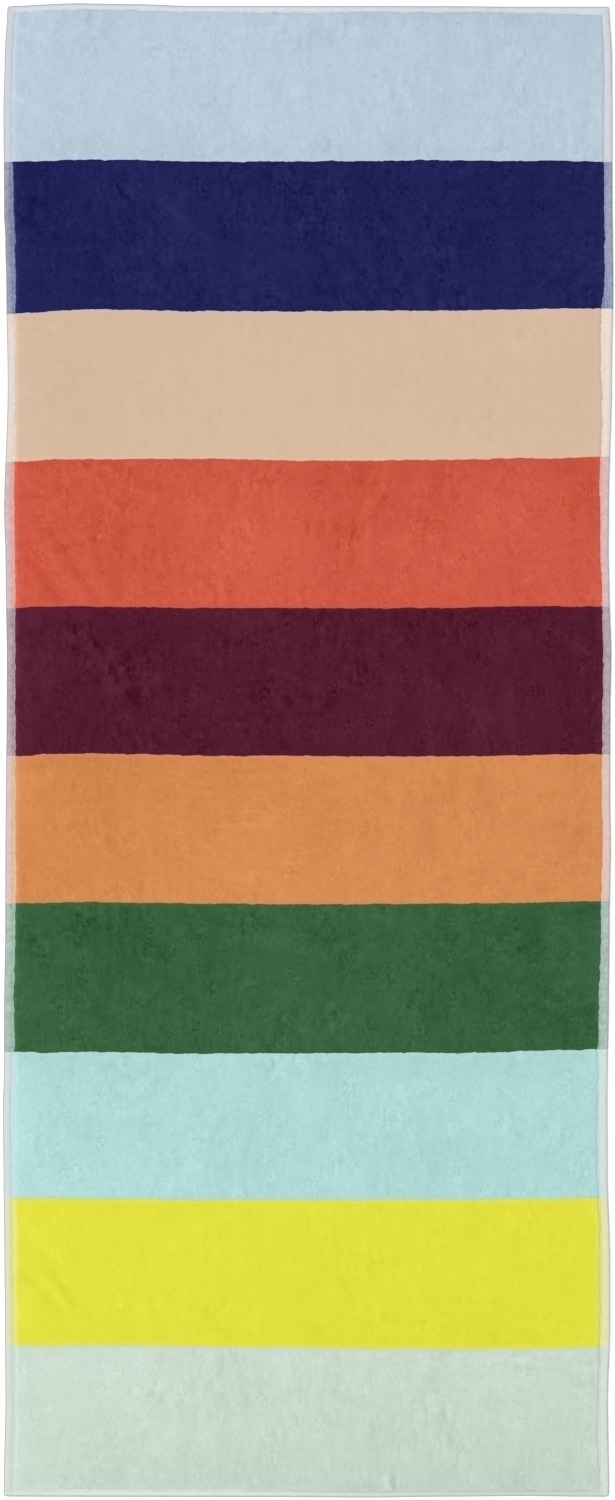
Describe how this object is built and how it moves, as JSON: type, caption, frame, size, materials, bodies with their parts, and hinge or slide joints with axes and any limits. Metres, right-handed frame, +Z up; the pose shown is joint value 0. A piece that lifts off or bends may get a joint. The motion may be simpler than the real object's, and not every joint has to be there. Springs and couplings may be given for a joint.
{
  "type": "striped bath towel",
  "caption": "Flat bath towel of cotton velour with equal bands of colour across it and a narrow flat-woven hem on every side.",
  "frame": {"origin": "under the middle of the cloth, on the surface that it lies on", "axes": "+Z up out of the pile face, +Y along the length towards the light blue end, +X to the right across the width"},
  "size_m": [0.7163, 1.7538, 0.0042],
  "materials": {
    "cotton_velour": "dull sheared cotton pile in bands of light blue, navy, sand, red, plum, orange, green, aqua, yellow and pale mint; the base colour is their mean"
  },
  "bodies": {
    "root": {"towel": "cotton_velour"}
  },
  "joints": []
}
